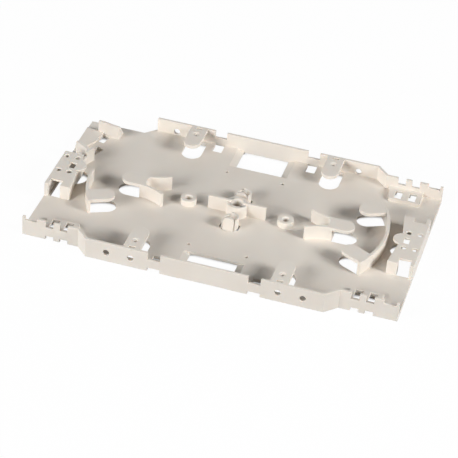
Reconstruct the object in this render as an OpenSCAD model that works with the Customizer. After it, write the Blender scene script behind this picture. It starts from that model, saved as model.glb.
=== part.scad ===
// Fibre splice tray, one moulding.
// Frame: +X along the length, +Y across, +Z up.
// The origin is the centre of the footprint, with z = 0 under the walls.

/* [Body] */
// Length over both ends
tray_l = 200; // [200:1:206]
// Width over the two end sections
end_w = 108.4; // [108.4:0.2:109.4]
// Width over the middle section
mid_w = 121; // [121:0.5:123]
// Height of the side walls
wall_h = 11.2; // [11:0.2:14]
// Thickness of the side walls
wall_t = 1.5; // [1.2:0.1:1.6]
// Height of the top of the floor above the foot of the walls
floor_top = 3.2; // [3:0.1:3.4]
// Thickness of the floor
floor_t = 1.6; // [1.4:0.1:1.8]
// Half length of the wide middle section
mid_half_l = 63.2; // [62.8:0.1:63.6]
// Run of each corner chamfer along X
corner_run = 6.2; // [5.8:0.1:6.6]

/* [Stacking notches] */
// Centre of each middle notch along X
mid_notch_x = 26.55; // [26:0.05:27]
// Width of each middle notch
mid_notch_w = 6.7; // [6:0.1:7]
// Centre of each inner end notch along X
end_notch_x = 77.4; // [77.2:0.1:77.6]
// Distance between the two end notches of a side
end_notch_pitch = 7.7; // [7.5:0.1:7.9]
// Width of each end notch
end_notch_w = 4.3; // [4:0.1:4.4]
// Top of the bar left in a notch
bar_top = 7.2; // [6.8:0.1:7.6]
// Underside of the bar left in a notch
bar_foot = 2.1; // [1.9:0.1:2.3]
// Height of the low run of wall beside each end nub
low_run_h = 9.1; // [8.6:0.1:9.6]
// Top of the raised pads behind the end notches
pad_top = 5.2; // [5:0.1:5.4]

/* [Hold down tongues] */
// Distance of the tongues from the middle along X
tongue_x = 39; // [38.5:0.1:39.5]
// Width of a tongue
tongue_w = 9.2; // [8.6:0.1:9.8]
// Distance of a tongue's tip from the long axis
tongue_tip_y = 40.3; // [40.1:0.1:42]
// Thickness of tongues and tabs
tab_t = 1.5; // [1.2:0.1:1.6]
// Clearance hole in each tongue
tongue_hole_d = 1.8; // [1.6:0.1:2]

/* [Fibre guides] */
// Thickness of the guide walls
guide_t = 1.5; // [1.2:0.1:1.6]
// Outer radius of the end arcs about the side bushes
arc_r = 54.7; // [54.4:0.1:54.9]
// Half angle of the end arcs
arc_half_a = 31.5; // [31:0.1:32]
// Angle of the tabs on the end arcs
arc_tab_a = 26; // [25.5:0.1:26.5]
// Half width of the tabs on the guides
guide_tab_hw = 4.75; // [4.5:0.05:4.8]

/* [Bores] */
// Bore of the centre bush
centre_bore_d = 6; // [5:0.1:6.4]
// Outside diameter of the centre bush
centre_bush_d = 11.2; // [11:0.1:11.6]
// Top of the centre bush
centre_bush_top = 10.4; // [10:0.1:10.8]
// Distance of the side bushes from the middle
side_bush_x = 26.7; // [26.5:0.1:27]
// Bore of the side bushes
side_bore_d = 3.6; // [3:0.1:4]
// Outside diameter of the side bushes
side_bush_d = 8.6; // [8.2:0.1:9]
// Top of the side bushes
side_bush_top = 6.8; // [6.4:0.1:7.4]
// Holes through the long walls
wall_hole_d = 3.4; // [3:0.1:3.6]

/* [End bridges] */
// Thickness of the bridge tops
bridge_t = 1.2; // [1.2:0.1:1.5]
// Tie holes through the end bridges
tie_hole_d = 3; // [2.6:0.1:3.2]
// Spacing of the tie holes along X
tie_pitch_x = 6; // [5.6:0.1:6]
// Spacing of the tie holes along Y
tie_pitch_y = 13.6; // [13.2:0.1:13.8]

/* [Hidden] */
$fn = 48;
half_l = tray_l / 2;
end_y = end_w / 2;
mid_y = mid_w / 2;
end_in_y = end_y - wall_t;
mid_in_y = mid_y - wall_t;
// a chamfer's corners shift by this much between the outer and the inner plan
chamfer_shift = wall_t * tan(atan2(mid_y - end_y, corner_run) / 2);
floor_under = floor_top - floor_t;
tab_z = wall_h - tab_t;
bridge_z = wall_h - bridge_t;
// walls and posts are rooted this deep in the floor
root_z = floor_top - 0.6;
// cuts start below the tray and end above it
low = -1;
high = 40;
plastic = [0.86, 0.83, 0.76];

function arc_pts(cx, cy, r, a0, a1, n) =
    [for (i = [0:n]) [cx + r * cos(a0 + (a1 - a0) * i / n), cy + r * sin(a0 + (a1 - a0) * i / n)]];

// the shell's outline: ends of half width ye, a middle of half width ym, chamfers from xm to xc
module outline(ex, ye, ym, xm, xc) {
    polygon([
        [-ex, ye], [-xc, ye], [-xm, ym], [xm, ym], [xc, ye], [ex, ye],
        [ex, -ye], [xc, -ye], [xm, -ym], [-xm, -ym], [-xc, -ye], [-ex, -ye]
    ]);
}

module outer_plan() {
    outline(half_l, end_y, mid_y, mid_half_l, mid_half_l + corner_run);
}

module inner_plan(ex) {
    inner_half_l = mid_half_l - chamfer_shift;
    outline(ex, end_in_y, mid_in_y, inner_half_l, inner_half_l + corner_run);
}

module box(x0, x1, y0, y1, z0, z1) {
    translate([x0, y0, z0]) cube([x1 - x0, y1 - y0, z1 - z0]);
}

module both_x() {
    children();
    mirror([1, 0, 0]) children();
}

module both_y() {
    children();
    mirror([0, 1, 0]) children();
}

// a strip with a round far end, running along +X from the origin
module round_strip(l, hw, z0, z1) {
    translate([0, 0, z0])
        linear_extrude(z1 - z0)
            polygon(concat([[0, -hw]], arc_pts(l - hw, 0, hw, -90, 90, 14), [[0, hw]]));
}

// an upright wall between two plan points, both ends cut square
module plan_wall(p, q, t, z0, z1) {
    way = q - p;
    translate([p[0], p[1], z0])
        rotate([0, 0, atan2(way[1], way[0])])
            translate([0, -t / 2, 0])
                cube([norm(way), t, z1 - z0]);
}

// a plan shape that stands in the floor and is as high as the walls
module to_wall_top() {
    translate([0, 0, root_z])
        linear_extrude(wall_h - root_z)
            children();
}

// a plan shape cut right through the floor
module through_floor() {
    translate([0, 0, low])
        linear_extrude(floor_top + 1 - low)
            children();
}

// ---- shell -------------------------------------------------------------
module floor_plate() {
    translate([0, 0, floor_under])
        linear_extrude(floor_t)
            outer_plan();
}

module skirt() {
    linear_extrude(floor_top - 0.4)
        difference() {
            outer_plan();
            inner_plan(half_l - wall_t);
        }
}

module side_walls() {
    entry_y0 = 20;
    difference() {
        linear_extrude(wall_h)
            difference() {
                outer_plan();
                inner_plan(half_l + 1);
            }
        // the far left corner is left open for the incoming tubes
        box(-half_l - 1, -mid_half_l, entry_y0, mid_y + 1, floor_top, high);
    }
}

// an upper and a lower notch in a wall, with a bar left between them
module notch(x_mid, w, y_in, y_out) {
    x0 = x_mid - w / 2;
    box(x0, x0 + w, y_in, y_out, bar_top, high);
    box(x0, x0 + w, y_in, y_out, low, bar_foot);
}

module wall_hole(x) {
    hole_z = 5.3;
    translate([x, mid_y + 1, hole_z])
        rotate([90, 0, 0])
            cylinder(d = wall_hole_d, h = wall_t + 2);
}

module wall_cuts() {
    floor_bite = 0.6;
    outer_hole_x = 52;
    low_run_x0 = half_l - 8;
    nub_w = 1.5;
    notch(mid_notch_x, mid_notch_w, mid_in_y - floor_bite, mid_y + 1);
    for (i = [0, 1])
        notch(end_notch_x + i * end_notch_pitch, end_notch_w, end_in_y - 0.05, end_y + 1);
    box(low_run_x0, half_l - nub_w, end_in_y - 1, end_y + 1, low_run_h, high);
    wall_hole(tongue_x);
    wall_hole(outer_hole_x);
}

// ---- raised pads behind the end notches --------------------------------
pad_x0 = half_l - 27;
pad_x1 = half_l - 10;
pad_y0 = 41.6;
pad_skin = 1.4;

module pad() {
    // the end towards the middle runs askew
    skew = 2.4;
    wall_bite = 1.1;
    base_z = floor_top - 0.8;
    translate([0, 0, base_z])
        linear_extrude(pad_top - base_z)
            polygon([
                [pad_x0, pad_y0], [pad_x1, pad_y0],
                [pad_x1, end_in_y + wall_bite], [pad_x0 - skew, end_in_y + wall_bite]
            ]);
}

module pad_cuts() {
    window_w = 3.9;
    window_y0 = 42.8;
    window_y1 = 49.8;
    box(pad_x0 + 1.5, pad_x1 - 1.5, window_y0, end_in_y, low, pad_top - pad_skin);
    for (i = [0, 1])
        translate([end_notch_x + i * end_notch_pitch, 0, 0])
            box(-window_w / 2, window_w / 2, window_y0, window_y1, low, high);
}

// three corners have a pad; the fourth is the tube entry
module at_pads() {
    children();
    mirror([0, 1, 0]) children();
    mirror([1, 0, 0]) mirror([0, 1, 0]) children();
}

// ---- floor openings ----------------------------------------------------
access_hw = 12.7;
access_y0 = 41.1;

// the window reaches the wall, and both its short sides slope down to it
module access_window() {
    flank_run = 3.7;
    top = floor_top + 0.01;
    translate([0, mid_in_y, 0])
        rotate([90, 0, 0])
            linear_extrude(mid_in_y - access_y0)
                polygon([
                    [-access_hw, low], [-access_hw, floor_under], [-access_hw - flank_run, top],
                    [-access_hw - flank_run, top + 1], [access_hw + flank_run, top + 1],
                    [access_hw + flank_run, top], [access_hw, floor_under], [access_hw, low]
                ]);
}

// the foot of the wall slants up towards the window
module wall_foot_relief() {
    inner_rise = 1.3;
    outer_rise = 0.2;
    translate([-access_hw, 0, 0])
        rotate([90, 0, 90])
            linear_extrude(2 * access_hw)
                polygon([
                    [mid_in_y - 1, low], [mid_in_y - 1, inner_rise], [mid_in_y, inner_rise],
                    [mid_y, outer_rise], [mid_y + 1, outer_rise], [mid_y + 1, low]
                ]);
}

module tongue_window() {
    wall_gap = 3.5;
    far_y = 39.5;
    margin = 0.95;
    translate([tongue_x, mid_y - wall_gap, 0])
        rotate([0, 0, -90])
            round_strip(mid_y - wall_gap - far_y, tongue_w / 2 + margin, low, floor_top + 1);
}

module notch_window() {
    half_w = 2.7;
    near_y = 51.2;
    box(mid_notch_x - half_w, mid_notch_x + half_w, near_y, mid_in_y + 0.2, low, floor_top + 0.3);
}

module pin_hole() {
    pin_x = 15.6;
    pin_y = 35;
    pin_d = 1.7;
    translate([pin_x, pin_y, low]) cylinder(d = pin_d, h = high, $fn = 24);
}

module floor_cuts() {
    both_y() {
        access_window();
        wall_foot_relief();
        both_x() {
            tongue_window();
            notch_window();
            pin_hole();
        }
    }
}

// ---- hold down tongues -------------------------------------------------
module tongue() {
    root_y = mid_y - wall_t / 2;
    hole_y = 52.3;
    sink_h = 0.35;
    sink_d0 = tongue_hole_d + 1.2;
    sink_d1 = tongue_hole_d + 2.4;
    slot_hw = 1.7;
    slot_l = 1.3;
    slot_y = mid_in_y - 0.2;
    difference() {
        translate([tongue_x, root_y, 0])
            rotate([0, 0, -90])
                round_strip(root_y - tongue_tip_y, tongue_w / 2, tab_z, wall_h);
        translate([tongue_x, hole_y, 0]) cylinder(d = tongue_hole_d, h = high, $fn = 24);
        translate([tongue_x, hole_y, wall_h - sink_h])
            cylinder(d1 = sink_d0, d2 = sink_d1, h = sink_h + 0.05, $fn = 32);
        box(tongue_x - slot_hw, tongue_x + slot_hw, slot_y - slot_l, slot_y, 0, high);
    }
}

// ---- inner guides: two arms open towards the middle, closed by a cross wall
cross_x = 50.2;
cross_t = 2.6;
inner_tab_l = 12.7;

module arm() {
    bend = [55.1, 34.5];
    bend_r = 29.9;
    tip_a = -122;
    root_a = -94.4;
    back_r = bend_r + guide_t;
    // a fillet between the arm's back and the cross wall
    fillet_r = 2.6;
    fillet_x = cross_x - fillet_r;
    fillet_y = bend[1] - sqrt(pow(back_r + fillet_r, 2) - pow(bend[0] - fillet_x, 2));
    fillet_a = atan2(fillet_y - bend[1], fillet_x - bend[0]);
    to_wall_top()
        polygon(concat(
            arc_pts(bend[0], bend[1], bend_r, root_a, tip_a, 7),
            arc_pts(bend[0], bend[1], back_r, tip_a, fillet_a, 5),
            arc_pts(fillet_x, fillet_y, fillet_r, fillet_a + 180, 0, 5),
            [[cross_x, 0], [cross_x + cross_t, 0]]
        ));
}

module inner_guide() {
    tab_root_x = cross_x + 0.8;
    both_y() arm();
    translate([tab_root_x, 0, 0]) round_strip(inner_tab_l, guide_tab_hw, tab_z, wall_h);
}

module inner_window() {
    window_l = inner_tab_l + 0.1;
    margin = 0.9;
    translate([cross_x + cross_t, 0, 0]) round_strip(window_l, guide_tab_hw + margin, low, floor_top + 1);
}

// ---- outer guides: arcs about the side bushes, with tabs ----------------
arc_tab_tip_r = 39.5;

module guide_arc(a0, a1) {
    translate([side_bush_x, 0, root_z])
        rotate([0, 0, a0])
            rotate_extrude(angle = a1 - a0, $fn = 180)
                translate([arc_r - guide_t, 0])
                    square([guide_t, wall_h - root_z]);
}

// a strip pointing from the arc to its bush, on the +X, -Y side
module arc_strip(tip_r, hw, z0, z1) {
    root_r = arc_r - guide_t / 2;
    translate([side_bush_x, 0, 0])
        rotate([0, 0, -arc_tab_a])
            translate([root_r, 0, 0])
                rotate([0, 0, 180])
                    round_strip(root_r - tip_r, hw, z0, z1);
}

module arc_tab() {
    arc_strip(arc_tab_tip_r, guide_tab_hw, tab_z, wall_h);
}

module arc_window() {
    side_margin = 0.45;
    tip_margin = 0.9;
    under_arc = 0.4;
    intersection() {
        arc_strip(arc_tab_tip_r - tip_margin, guide_tab_hw + side_margin, low, floor_top + 1);
        translate([side_bush_x, 0, low - 1])
            cylinder(r = arc_r - guide_t + under_arc, h = high, $fn = 180);
    }
}

// ---- centre: ribs, bushes, snap posts ----------------------------------
module centre_ribs() {
    reach = 15.8;
    box(-reach, reach, -guide_t / 2, guide_t / 2, root_z, wall_h);
}

module centre_bush() {
    cylinder(d = centre_bush_d, h = centre_bush_top);
}

module side_bush() {
    translate([side_bush_x, 0, 0]) cylinder(d = side_bush_d, h = side_bush_top);
}

module bores() {
    translate([0, 0, low]) cylinder(d = centre_bore_d, h = high);
    both_x() translate([side_bush_x, 0, low]) cylinder(d = side_bore_d, h = high);
}

post_x = -0.2;
post_y = 12;
post_r = 4.5;

// a round post split into two halves, with a sprung leg that faces -Y
module snap_post(y) {
    post_wall = 1.5;
    rear_top = 9.4;
    left_top = 8;
    split_foot = 5;
    split_x0 = -1.1;
    split_x1 = -0.3;
    front_y = -0.6;
    spring_hw = 2.8;
    spring_rise = 2.2;
    spring_z = 8.7;
    spring_t = 1.6;
    spring_y = -2.7;
    spring_foot = floor_under + 0.2;
    translate([post_x, y, 0]) {
        difference() {
            translate([0, 0, root_z]) cylinder(r = post_r, h = rear_top - root_z);
            translate([0, 0, floor_top]) cylinder(r = post_r - post_wall, h = high);
            box(-spring_hw - 0.4, spring_hw + 0.4, -post_r - 1, front_y, floor_top, high);
            box(-post_r - 1, split_x0, -post_r - 1, post_r + 1, left_top, high);
            box(split_x0, split_x1, 0, post_r + 1, split_foot, high);
        }
        translate([0, spring_y, 0])
            rotate([90, 0, 0])
                linear_extrude(spring_t)
                    polygon(concat(
                        [[-spring_hw, spring_foot], [spring_hw, spring_foot]],
                        [for (a = [0:15:180]) [spring_hw * cos(a), spring_z + spring_rise * sin(a)]]
                    ));
    }
}

// slits through the floor beside and before a snap post
module snap_clearance(y) {
    slit_x0 = 3.6;
    slit_x1 = 5.2;
    slit_y0 = -2.8;
    slit_y1 = 2.2;
    ring_gap = 0.3;
    ring_w = 0.6;
    translate([post_x, y, low]) {
        for (sx = [-1, 1])
            scale([sx, 1, 1]) box(slit_x0, slit_x1, slit_y0, slit_y1, 0, high);
        rotate([0, 0, -135])
            rotate_extrude(angle = 90, $fn = 64)
                translate([post_r + ring_gap, 0])
                    square([ring_w, floor_top + 2]);
    }
}

// ---- end bridges -------------------------------------------------------
// drawn for the right end with x = 0 on the end face; the left one is mirrored
leg_x = 8.5;
leg_end_x = 14;
waist_x = 11.8;
waist_y = 5;
plate_y = 17;
leg_y = 21.5;
tie_x = 5.5;
tie_y = -0.6;
bridge_tab_r = 4.7;
bridge_tab_x = 10.8;
bridge_wall_t = 1.1;
bridge_wall_top = wall_h - 0.3;
right_plate_rear = [[-leg_end_x, 20.5], [-leg_x, 20.5], [-leg_x, plate_y], [0, plate_y]];
left_plate_rear = [[-10.4, 10.6], [-leg_x, 10.4], [0, 10.4]];

module bridge_top(rear) {
    front = [[0, -plate_y], [-leg_x, -plate_y], [-leg_x, -leg_y], [-leg_end_x, -leg_y],
             [-waist_x, -waist_y], [-waist_x, waist_y]];
    translate([0, 0, bridge_z])
        linear_extrude(bridge_t)
            polygon(concat(front, rear));
    translate([-bridge_tab_x, 0, bridge_z]) cylinder(r = bridge_tab_r, h = bridge_t);
}

module bridge_leg() {
    difference() {
        translate([0, 0, root_z])
            linear_extrude(bridge_wall_top - root_z)
                polygon([
                    [-leg_end_x, -leg_y], [-leg_x, -leg_y], [-leg_x, -plate_y], [-leg_end_x + 0.5, -plate_y]
                ]);
        translate([0, 0, low])
            linear_extrude(tab_z - low)
                polygon([[-12.4, -20], [-10, -20], [-10, -16], [-12, -16]]);
    }
}

// the channel's outer wall, which follows the edge of the bridge from y0 to y1
module bridge_inner_wall(y0, y1) {
    edge = [[-leg_end_x, -leg_y], [-waist_x, -waist_y], [-waist_x, waist_y], [-leg_end_x, leg_y]];
    back = [for (i = [3:-1:0]) edge[i] + [bridge_wall_t, 0]];
    translate([0, 0, root_z])
        linear_extrude(bridge_wall_top - root_z)
            intersection() {
                polygon(concat(edge, back));
                translate([-20, y0]) square([20, y1 - y0]);
            }
}

module bridge_end_wall(y1) {
    end_wall_t = 2;
    y0 = -22;
    box(-end_wall_t, 0, y0, y1, 0, wall_h);
}

module bridge_holes() {
    for (sx = [-1, 1], sy = [-1, 1])
        translate([-tie_x + sx * tie_pitch_x / 2, tie_y + sy * tie_pitch_y / 2, bridge_z - 1])
            cylinder(d = tie_hole_d, h = high, $fn = 32);
    // the square hole between the tie holes
    box(-9.8, -6.7, -3.7, 1.2, bridge_z - 1, high);
}

module bridge_tab_window() {
    window_r = 6.3;
    centre = 1.8;
    chord_a = acos(-centre / window_r);
    translate([-waist_x, 0, 0])
        through_floor()
            polygon(arc_pts(centre, 0, window_r, chord_a, 360 - chord_a, 16));
}

module right_bridge() {
    rear_leg_shift = -1;
    difference() {
        union() {
            bridge_top(right_plate_rear);
            bridge_leg();
            translate([0, rear_leg_shift, 0]) mirror([0, 1, 0]) bridge_leg();
            bridge_inner_wall(-21.4, 21.4);
            bridge_end_wall(21.6);
        }
        bridge_holes();
    }
}

module left_bridge() {
    difference() {
        union() {
            bridge_top(left_plate_rear);
            bridge_leg();
            bridge_inner_wall(-21.4, 10);
            bridge_end_wall(10.4);
        }
        bridge_holes();
    }
}

module right_bridge_window() {
    x0 = -10.2;
    x1 = -1.8;
    y0 = -21.4;
    y1 = 20.4;
    behind_wall = -waist_x + bridge_wall_t;
    through_floor()
        polygon([
            [x0, y0], [x1, y0], [x1, y1], [x0, y1], [x0, 16.4], [-11.9, 15],
            [behind_wall, waist_y], [behind_wall, -waist_y], [x0, -9]
        ]);
}

module left_bridge_window() {
    box(-8.4, -2.6, -21.4, -2, low, floor_top + 1);
}

// ---- far left corner: tube entry; plans are drawn with x = 0 on the end face
module entry_platform() {
    platform_top = 4.6;
    base_z = floor_top - 0.8;
    translate([0, 0, base_z])
        linear_extrude(platform_top - base_z)
            polygon([[0, 46], [8, 45.2], [10.6, 45], [10.5, 44.6], [8.5, 33.7], [5.6, 28.2], [0, 26]]);
}

module entry_guide() {
    brace_x = 19.9;
    brace_t = 1.4;
    brace_y0 = 43.2;
    brace_y1 = 49.4;
    to_wall_top()
        polygon([
            [6.9, 44.3], [11.2, 43.7], [15.2, 42.7], [19.4, 42.2],
            [brace_x, 43.5], [15.6, 44.2], [11.5, 45.2], [7.1, 45.8]
        ]);
    // a sloping brace behind its inner end
    translate([brace_x, 0, 0])
        rotate([90, 0, -90])
            linear_extrude(brace_t)
                polygon([
                    [-brace_y0, root_z], [-brace_y0, wall_h],
                    [-brace_y1, floor_top + 0.4], [-brace_y1, root_z]
                ]);
}

module entry_slot() {
    through_floor() polygon([[8.8, 36.8], [13, 35.8], [14.2, 42.4], [10, 43.4]]);
}

module entry_hole() {
    through_floor() polygon([[10.6, 31.2], [11.4, 32], [15, 29.6], [12.3, 23.6], [11, 24]]);
}

module entry_walls() {
    // a curved wall leads the tubes round the bridge, with a short straight one at its end
    bend = [-13.2, -14.1, root_z];
    bend_r = 38.2;
    start_a = 50.3;
    sweep_a = 15.9;
    translate(bend)
        rotate([0, 0, start_a])
            rotate_extrude(angle = sweep_a, $fn = 180)
                translate([bend_r, 0])
                    square([guide_t, wall_h - root_z]);
    plan_wall([13.1, 19], [10.4, 13.3], guide_t, root_z, wall_h);
}

// ---- the moulding ------------------------------------------------------
module at_left_end() {
    translate([-half_l, 0, 0]) children();
}

module at_right_end() {
    translate([half_l, 0, 0]) children();
}

module shell() {
    floor_plate();
    skirt();
    side_walls();
    at_pads() pad();
    at_left_end() entry_platform();
}

module shell_cuts() {
    both_x() both_y() wall_cuts();
    at_pads() pad_cuts();
    floor_cuts();
    both_x() {
        inner_window();
        arc_window();
        at_right_end() bridge_tab_window();
    }
    mirror([0, 1, 0]) arc_window();
    at_right_end() right_bridge_window();
    at_left_end() {
        mirror([1, 0, 0]) left_bridge_window();
        entry_slot();
        entry_hole();
    }
    for (sy = [-1, 1])
        snap_clearance(sy * post_y);
}

module guides() {
    left_arc_end_a = 0.5;
    both_x() {
        both_y() tongue();
        inner_guide();
        arc_tab();
        side_bush();
    }
    mirror([0, 1, 0]) arc_tab();
    guide_arc(-arc_half_a, arc_half_a);
    // the left arc has its front half alone, and ends just past the long axis
    mirror([1, 0, 0]) guide_arc(-arc_half_a, left_arc_end_a);
    centre_ribs();
    centre_bush();
    for (sy = [-1, 1])
        snap_post(sy * post_y);
    at_right_end() right_bridge();
    at_left_end() {
        mirror([1, 0, 0]) left_bridge();
        entry_guide();
        entry_walls();
    }
}

module tray() {
    color(plastic)
        difference() {
            union() {
                difference() {
                    shell();
                    shell_cuts();
                }
                guides();
            }
            bores();
        }
}

tray();
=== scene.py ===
import math

import bmesh
import bpy
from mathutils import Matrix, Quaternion, Vector


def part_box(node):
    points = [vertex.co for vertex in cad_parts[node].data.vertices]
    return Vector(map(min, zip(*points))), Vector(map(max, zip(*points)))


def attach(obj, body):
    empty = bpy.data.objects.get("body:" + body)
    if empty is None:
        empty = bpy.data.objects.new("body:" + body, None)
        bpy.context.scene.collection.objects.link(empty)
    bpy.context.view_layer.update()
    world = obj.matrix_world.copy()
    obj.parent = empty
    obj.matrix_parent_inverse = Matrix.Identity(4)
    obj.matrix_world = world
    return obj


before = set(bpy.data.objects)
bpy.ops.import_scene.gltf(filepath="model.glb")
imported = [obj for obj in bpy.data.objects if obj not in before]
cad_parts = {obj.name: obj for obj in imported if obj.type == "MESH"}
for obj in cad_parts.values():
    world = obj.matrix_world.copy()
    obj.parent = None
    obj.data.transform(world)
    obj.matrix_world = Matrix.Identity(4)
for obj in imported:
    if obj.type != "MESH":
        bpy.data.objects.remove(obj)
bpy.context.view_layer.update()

# ---- named values, in metres and degrees ----------------------------------
NODE = "tray"

CAMERA_PLACE = Vector((0.2058, -0.8562, 0.6398))
CAMERA_AIM = Vector((-0.00083, -0.0106, 0.0))
CAMERA_ROLL = 4.68
CAMERA_LENS = 161.5
CAMERA_NEAR = 0.05

# rounding of the edges that turn outwards by more than the angle and lie above the floor plate
EDGE_WIDTH = 0.00018
EDGE_SEGMENTS = 2
EDGE_ANGLE = 32
SOFT_FROM = 0.0035
WELD_GAP = 1e-6
PLANE_ANGLE = 0.5

# bores with a wide rounded mouth: centre of the mouth (x, y, z), bore radius and mouth width
CENTRE_BORE = (0.0, 0.0, 0.0104, 0.003, 0.0009)
SIDE_BORES = [(side * 0.0267, 0.0, 0.0068, 0.0018, 0.0007) for side in (-1, 1)]
MOUTHS = [CENTRE_BORE] + SIDE_BORES
MOUTH_REACH = 0.0001
# heights count this many times in the test for a mouth's rim, so that it leaves the upright edges nearby out
MOUTH_STRETCH = 20
WIDEST_MOUTH = max(width for _, _, _, _, width in MOUTHS)

PLASTIC = (0.785, 0.72, 0.64, 1.0)
PLASTIC_DARK = (0.76, 0.69, 0.61, 1.0)
PLASTIC_IOR = 1.45
# slow drift from the darker tone to the paler one
DRIFT_SCALE = 28.0
DRIFT_DETAIL = 3.0
DRIFT_DARK_TO = 0.36
DRIFT_PALE_FROM = 0.62
# fine eroded grain, in the gloss and as relief
GRAIN_SCALE = 2600.0
GRAIN_DETAIL = 4.0
GRAIN_STRENGTH = 0.12
GRAIN_DEPTH = 0.00008
ROUGHNESS_LEAST = 0.42
ROUGHNESS_MOST = 0.58
# light that scatters under the surface: its share, its reach by colour and the scale of that reach
SCATTER_SHARE = 0.2
SCATTER_REACH = (1.0, 0.7, 0.5)
SCATTER_SCALE = 0.001

FLOOR_SEEN = (1.0, 1.0, 1.0, 1.0)
FLOOR_BOUNCE = (0.28, 0.28, 0.28, 1.0)
FLOOR_WHITE = 0.97
FLOOR_GLOW = 1.0
FLOOR_SIZE = 6.0
# the floor's shade close under the tray: full where this share of its sky is open, and none from there up
SHADE_REACH = 0.006
SHADE_FULL = 0.08
SHADE_NONE = 0.24
SHADE_SAMPLES = 16

WORLD_TONE = (0.97, 0.985, 1.0, 1.0)
WORLD_STRENGTH = 0.02
WORLD_SEEN = (1.0, 1.0, 1.0, 1.0)
WORLD_SEEN_STRENGTH = 1.0

# by name: azimuth and elevation that the lamp shines from, distance, size and power in watts
LAMPS = {
    "right": (77, 28, 1.6, 0.6, 23.5),
    "left": (-38, 21, 1.6, 0.9, 25.4),
    "back": (195, 6, 1.6, 0.4, 3.0),
}
LAMP_TONE = (0.96, 0.98, 1.0)

# the hold-down tabs look thicker in the picture than in the solids: their underside comes down this far
TAB_UNDERSIDE = 0.0097
TAB_EXTRA = 0.0005
TAB_REACH = 0.00005

# cup under the five-sided hole beside the tube entry; the plan is measured from the left end
CUP_PLAN = [(0.0106, 0.0312), (0.0114, 0.0320), (0.0150, 0.0296), (0.0123, 0.0236), (0.0110, 0.0240)]
CUP_TOP = 0.00169
CUP_FLOOR = 0.0009
CUP_UNDER = 0.0001
CUP_SPREAD = 1.2


# ---- node helpers -----------------------------------------------------------
class Nodes:
    """A node tree, with short calls to add nodes and links."""

    def __init__(self, tree):
        self.tree = tree
        self.tree.nodes.clear()

    def add(self, kind, **values):
        node = self.tree.nodes.new(kind)
        for key, value in values.items():
            setattr(node, key, value)
        return node

    def link(self, output, socket):
        self.tree.links.new(output, socket)


def shader_nodes(owner):
    """The nodes of a material or world."""
    owner.use_nodes = True
    return Nodes(owner.node_tree)


def seen_directly(nodes):
    """1 for rays from the camera, and for those that glossy and clear surfaces send on."""
    path = nodes.add("ShaderNodeLightPath")
    first = nodes.add("ShaderNodeMath", operation="MAXIMUM")
    nodes.link(path.outputs["Is Camera Ray"], first.inputs[0])
    nodes.link(path.outputs["Is Glossy Ray"], first.inputs[1])
    both = nodes.add("ShaderNodeMath", operation="MAXIMUM")
    nodes.link(first.outputs[0], both.inputs[0])
    nodes.link(path.outputs["Is Transmission Ray"], both.inputs[1])
    return both.outputs[0]


# ---- materials ----------------------------------------------------------------
def plastic_tone(nodes, place):
    """Ivory that drifts slowly between two tones."""
    drift = nodes.add("ShaderNodeTexNoise")
    drift.inputs["Scale"].default_value = DRIFT_SCALE
    drift.inputs["Detail"].default_value = DRIFT_DETAIL
    nodes.link(place, drift.inputs["Vector"])
    tone = nodes.add("ShaderNodeValToRGB")
    tone.color_ramp.elements[0].position = DRIFT_DARK_TO
    tone.color_ramp.elements[0].color = PLASTIC_DARK
    tone.color_ramp.elements[1].position = DRIFT_PALE_FROM
    tone.color_ramp.elements[1].color = PLASTIC
    nodes.link(drift.outputs["Fac"], tone.inputs["Fac"])
    return tone.outputs["Color"]


def plastic_grain(nodes, place):
    """The fine eroded grain, as a roughness and as a surface normal."""
    grain = nodes.add("ShaderNodeTexNoise")
    grain.inputs["Scale"].default_value = GRAIN_SCALE
    grain.inputs["Detail"].default_value = GRAIN_DETAIL
    nodes.link(place, grain.inputs["Vector"])
    gloss = nodes.add("ShaderNodeMapRange")
    gloss.inputs["To Min"].default_value = ROUGHNESS_LEAST
    gloss.inputs["To Max"].default_value = ROUGHNESS_MOST
    nodes.link(grain.outputs["Fac"], gloss.inputs["Value"])
    relief = nodes.add("ShaderNodeBump")
    relief.inputs["Strength"].default_value = GRAIN_STRENGTH
    relief.inputs["Distance"].default_value = GRAIN_DEPTH
    nodes.link(grain.outputs["Fac"], relief.inputs["Height"])
    return gloss.outputs["Result"], relief.outputs["Normal"]


def moulded_plastic():
    """Warm ivory moulding: a little uneven in tone, satin, with a fine eroded grain."""
    material = bpy.data.materials.new("ivory_moulding")
    nodes = shader_nodes(material)
    place = nodes.add("ShaderNodeTexCoord").outputs["Object"]
    roughness, normal = plastic_grain(nodes, place)
    shader = nodes.add("ShaderNodeBsdfPrincipled")
    shader.inputs["IOR"].default_value = PLASTIC_IOR
    shader.inputs["Subsurface Weight"].default_value = SCATTER_SHARE
    shader.inputs["Subsurface Radius"].default_value = SCATTER_REACH
    shader.inputs["Subsurface Scale"].default_value = SCATTER_SCALE
    nodes.link(plastic_tone(nodes, place), shader.inputs["Base Color"])
    nodes.link(roughness, shader.inputs["Roughness"])
    nodes.link(normal, shader.inputs["Normal"])
    out = nodes.add("ShaderNodeOutputMaterial")
    nodes.link(shader.outputs["BSDF"], out.inputs["Surface"])
    return material


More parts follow.
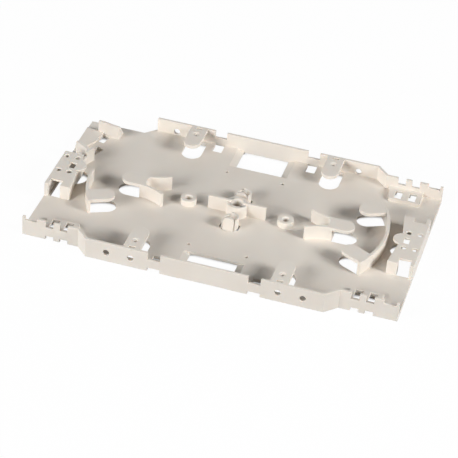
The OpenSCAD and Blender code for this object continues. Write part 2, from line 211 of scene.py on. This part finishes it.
def studio_floor_material():
    """A pale floor that takes the object's shadow and looks white past it."""
    material = bpy.data.materials.new("studio_floor")
    nodes = shader_nodes(material)
    matt = nodes.add("ShaderNodeBsdfDiffuse")
    seen = seen_directly(nodes)
    tone = nodes.add("ShaderNodeMixRGB")
    tone.inputs["Color1"].default_value = FLOOR_BOUNCE
    tone.inputs["Color2"].default_value = FLOOR_SEEN
    nodes.link(seen, tone.inputs["Fac"])
    nodes.link(tone.outputs["Color"], matt.inputs["Color"])
    glow = nodes.add("ShaderNodeEmission")
    glow.inputs["Strength"].default_value = FLOOR_GLOW
    # painted shade: the floor's white glow fades out where the tray hides its sky, so the floor close under
    # the tray and seen through small holes turns dark
    openness = nodes.add("ShaderNodeAmbientOcclusion", samples=SHADE_SAMPLES)
    openness.inputs["Distance"].default_value = SHADE_REACH
    white = nodes.add("ShaderNodeMapRange")
    white.inputs["From Min"].default_value = SHADE_FULL
    white.inputs["From Max"].default_value = SHADE_NONE
    white.inputs["To Max"].default_value = FLOOR_WHITE
    nodes.link(openness.outputs["AO"], white.inputs["Value"])
    share = nodes.add("ShaderNodeMath", operation="MULTIPLY")
    nodes.link(seen, share.inputs[0])
    nodes.link(white.outputs["Result"], share.inputs[1])
    blend = nodes.add("ShaderNodeMixShader")
    nodes.link(share.outputs[0], blend.inputs["Fac"])
    nodes.link(matt.outputs["BSDF"], blend.inputs[1])
    nodes.link(glow.outputs["Emission"], blend.inputs[2])
    out = nodes.add("ShaderNodeOutputMaterial")
    nodes.link(blend.outputs["Shader"], out.inputs["Surface"])
    return material


# ---- studio ---------------------------------------------------------------------
def place_camera():
    camera = bpy.data.objects.new("camera", bpy.data.cameras.new("camera"))
    camera.data.lens = CAMERA_LENS
    camera.data.clip_start = CAMERA_NEAR
    camera.location = CAMERA_PLACE
    camera.rotation_mode = "QUATERNION"
    aim = (CAMERA_AIM - CAMERA_PLACE).to_track_quat("-Z", "Y")
    camera.rotation_quaternion = aim @ Quaternion((0, 0, 1), math.radians(CAMERA_ROLL))
    bpy.context.scene.collection.objects.link(camera)
    bpy.context.scene.camera = camera


def studio_floor():
    mesh = bpy.data.meshes.new("studio_floor")
    half = FLOOR_SIZE / 2
    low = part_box(NODE)[0].z
    corners = [(-half, -half, low), (half, -half, low), (half, half, low), (-half, half, low)]
    mesh.from_pydata(corners, [], [(0, 1, 2, 3)])
    floor = bpy.data.objects.new("studio_floor", mesh)
    floor.data.materials.append(studio_floor_material())
    bpy.context.scene.collection.objects.link(floor)


def studio_world():
    world = bpy.data.worlds.new("studio")
    bpy.context.scene.world = world
    nodes = shader_nodes(world)
    ambient = nodes.add("ShaderNodeBackground")
    ambient.inputs["Color"].default_value = WORLD_TONE
    ambient.inputs["Strength"].default_value = WORLD_STRENGTH
    white = nodes.add("ShaderNodeBackground")
    white.inputs["Strength"].default_value = WORLD_SEEN_STRENGTH
    white.inputs["Color"].default_value = WORLD_SEEN
    blend = nodes.add("ShaderNodeMixShader")
    nodes.link(seen_directly(nodes), blend.inputs["Fac"])
    nodes.link(ambient.outputs["Background"], blend.inputs[1])
    nodes.link(white.outputs["Background"], blend.inputs[2])
    out = nodes.add("ShaderNodeOutputWorld")
    nodes.link(blend.outputs["Shader"], out.inputs["Surface"])


def studio_lamps():
    for name, (azimuth, elevation, distance, size, power) in LAMPS.items():
        lamp = bpy.data.lights.new(name, "AREA")
        lamp.shape = "DISK"
        lamp.size = size
        lamp.energy = power
        lamp.color = LAMP_TONE
        holder = bpy.data.objects.new(name, lamp)
        a = math.radians(azimuth)
        e = math.radians(elevation)
        way = Vector((math.sin(a) * math.cos(e), -math.cos(a) * math.cos(e), math.sin(e)))
        holder.location = way * distance
        holder.rotation_mode = "QUATERNION"
        holder.rotation_quaternion = (-way).to_track_quat("-Z", "Y")
        bpy.context.scene.collection.objects.link(holder)


# ---- the tray ---------------------------------------------------------------------
def mouth_share(nodes, place, mouth):
    """The mouth's width as a share of the widest one, on the edges round the mouth."""
    x, y, z, radius, width = mouth
    away = nodes.add("ShaderNodeVectorMath", operation="DISTANCE")
    nodes.link(place, away.inputs[0])
    away.inputs[1].default_value = (x, y, z * MOUTH_STRETCH)
    on_rim = nodes.add("ShaderNodeMath", operation="COMPARE")
    nodes.link(away.outputs["Value"], on_rim.inputs[0])
    on_rim.inputs[1].default_value = radius
    on_rim.inputs[2].default_value = MOUTH_REACH
    share = nodes.add("ShaderNodeMath", operation="MULTIPLY")
    nodes.link(on_rim.outputs[0], share.inputs[0])
    share.inputs[1].default_value = width / WIDEST_MOUTH
    return share.outputs[0]


def rounded_edges(nodes, height):
    """1 on the edges that turn outwards and lie above the floor plate."""
    raised = nodes.add("ShaderNodeMath", operation="GREATER_THAN")
    nodes.link(height, raised.inputs[0])
    raised.inputs[1].default_value = SOFT_FROM
    turn = nodes.add("GeometryNodeInputMeshEdgeAngle")
    convex = nodes.add("ShaderNodeMath", operation="GREATER_THAN")
    nodes.link(turn.outputs["Signed Angle"], convex.inputs[0])
    convex.inputs[1].default_value = math.radians(EDGE_ANGLE)
    both = nodes.add("ShaderNodeMath", operation="MULTIPLY")
    nodes.link(convex.outputs[0], both.inputs[0])
    nodes.link(raised.outputs[0], both.inputs[1])
    return both.outputs[0]


def rounding_share(nodes, place):
    """Each edge's rounding as a share of the widest mouth: a little all over, and more at the mouths."""
    stretched = nodes.add("ShaderNodeVectorMath", operation="MULTIPLY")
    nodes.link(place, stretched.inputs[0])
    stretched.inputs[1].default_value = (1.0, 1.0, MOUTH_STRETCH)
    amount = None
    for mouth in MOUTHS:
        most = nodes.add("ShaderNodeMath", operation="MAXIMUM")
        nodes.link(mouth_share(nodes, stretched.outputs[0], mouth), most.inputs[0])
        if amount is None:
            most.inputs[1].default_value = EDGE_WIDTH / WIDEST_MOUTH
        else:
            nodes.link(amount, most.inputs[1])
        amount = most.outputs[0]
    return amount


def thicker_tabs(nodes, shape, height):
    """Brings the undersides of the hold-down tabs down."""
    under = nodes.add("ShaderNodeMath", operation="COMPARE")
    nodes.link(height, under.inputs[0])
    under.inputs[1].default_value = TAB_UNDERSIDE
    under.inputs[2].default_value = TAB_REACH
    thicker = nodes.add("GeometryNodeSetPosition")
    nodes.link(shape, thicker.inputs["Geometry"])
    nodes.link(under.outputs[0], thicker.inputs["Selection"])
    thicker.inputs["Offset"].default_value = (0.0, 0.0, -TAB_EXTRA)
    return thicker.outputs["Geometry"]


def rounding_group():
    """Geometry nodes that thicken the tabs and store how far the bevel rounds each edge."""
    group = bpy.data.node_groups.new("rounding", "GeometryNodeTree")
    group.interface.new_socket(name="Geometry", in_out="INPUT", socket_type="NodeSocketGeometry")
    group.interface.new_socket(name="Geometry", in_out="OUTPUT", socket_type="NodeSocketGeometry")
    nodes = Nodes(group)
    source = nodes.add("NodeGroupInput")
    place = nodes.add("GeometryNodeInputPosition").outputs[0]
    split = nodes.add("ShaderNodeSeparateXYZ")
    nodes.link(place, split.inputs[0])
    height = split.outputs["Z"]
    weight = nodes.add("ShaderNodeMath", operation="MULTIPLY")
    nodes.link(rounded_edges(nodes, height), weight.inputs[0])
    nodes.link(rounding_share(nodes, place), weight.inputs[1])
    store = nodes.add("GeometryNodeStoreNamedAttribute", data_type="FLOAT", domain="EDGE")
    store.inputs["Name"].default_value = "bevel_weight_edge"
    nodes.link(thicker_tabs(nodes, source.outputs[0], height), store.inputs["Geometry"])
    nodes.link(weight.outputs[0], store.inputs["Value"])
    sink = nodes.add("NodeGroupOutput")
    nodes.link(store.outputs["Geometry"], sink.inputs[0])
    return group


def soften_edges(tray):
    """Rounds the moulding's raised outer edges; the loaded mesh itself stays as it is.

    Known fault: the bevel folds over itself where the three tabs of the outer arcs meet the arcs, and leaves
    a folded sliver about 8 mm high at each.
    """
    weld = tray.modifiers.new("weld", "WELD")
    weld.merge_threshold = WELD_GAP
    planes = tray.modifiers.new("whole_planes", "DECIMATE")
    planes.decimate_type = "DISSOLVE"
    planes.angle_limit = math.radians(PLANE_ANGLE)
    rounding = tray.modifiers.new("rounding", "NODES")
    rounding.node_group = rounding_group()
    bevel = tray.modifiers.new("soft_edges", "BEVEL")
    bevel.width = WIDEST_MOUTH
    bevel.segments = EDGE_SEGMENTS
    bevel.limit_method = "WEIGHT"
    bevel.use_clamp_overlap = False
    bevel.harden_normals = True


def cup_faces(count, laps):
    """The faces between each ring of corners and the next, and a cap on the first ring and on the last."""
    faces = []
    for lap in range(laps):
        low = lap * count
        high = low + count
        for i in range(count):
            after = (i + 1) % count
            faces.append((low + i, low + after, high + after, high + i))
    faces.append(tuple(range(count)))
    faces.append(tuple(range(laps * count, (laps + 1) * count)))
    return faces


def blind_cup(plastic):
    """Closes the five-sided hole from below: it is dark in the picture, and so is taken as blind."""
    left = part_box(NODE)[0].x
    inner = [Vector((left + x, y, 0.0)) for x, y in CUP_PLAN]
    middle = sum(inner, Vector()) / len(inner)
    outer = [middle + (corner - middle) * CUP_SPREAD for corner in inner]
    rings = [(inner, CUP_FLOOR), (inner, CUP_TOP), (outer, CUP_TOP), (outer, CUP_UNDER)]
    corners = [(corner.x, corner.y, z) for ring, z in rings for corner in ring]
    mesh = bpy.data.meshes.new("blind_cup")
    mesh.from_pydata(corners, [], cup_faces(len(inner), len(rings) - 1))
    shape = bmesh.new()
    shape.from_mesh(mesh)
    bmesh.ops.recalc_face_normals(shape, faces=shape.faces)
    shape.to_mesh(mesh)
    shape.free()
    mesh.materials.append(plastic)
    cup = bpy.data.objects.new("blind_cup", mesh)
    bpy.context.scene.collection.objects.link(cup)
    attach(cup, "root")


def dress_tray():
    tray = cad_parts[NODE]
    plastic = moulded_plastic()
    tray.data.materials.clear()
    tray.data.materials.append(plastic)
    soften_edges(tray)
    blind_cup(plastic)


bpy.context.scene.view_settings.view_transform = "Standard"
place_camera()
studio_world()
studio_floor()
studio_lamps()
dress_tray()
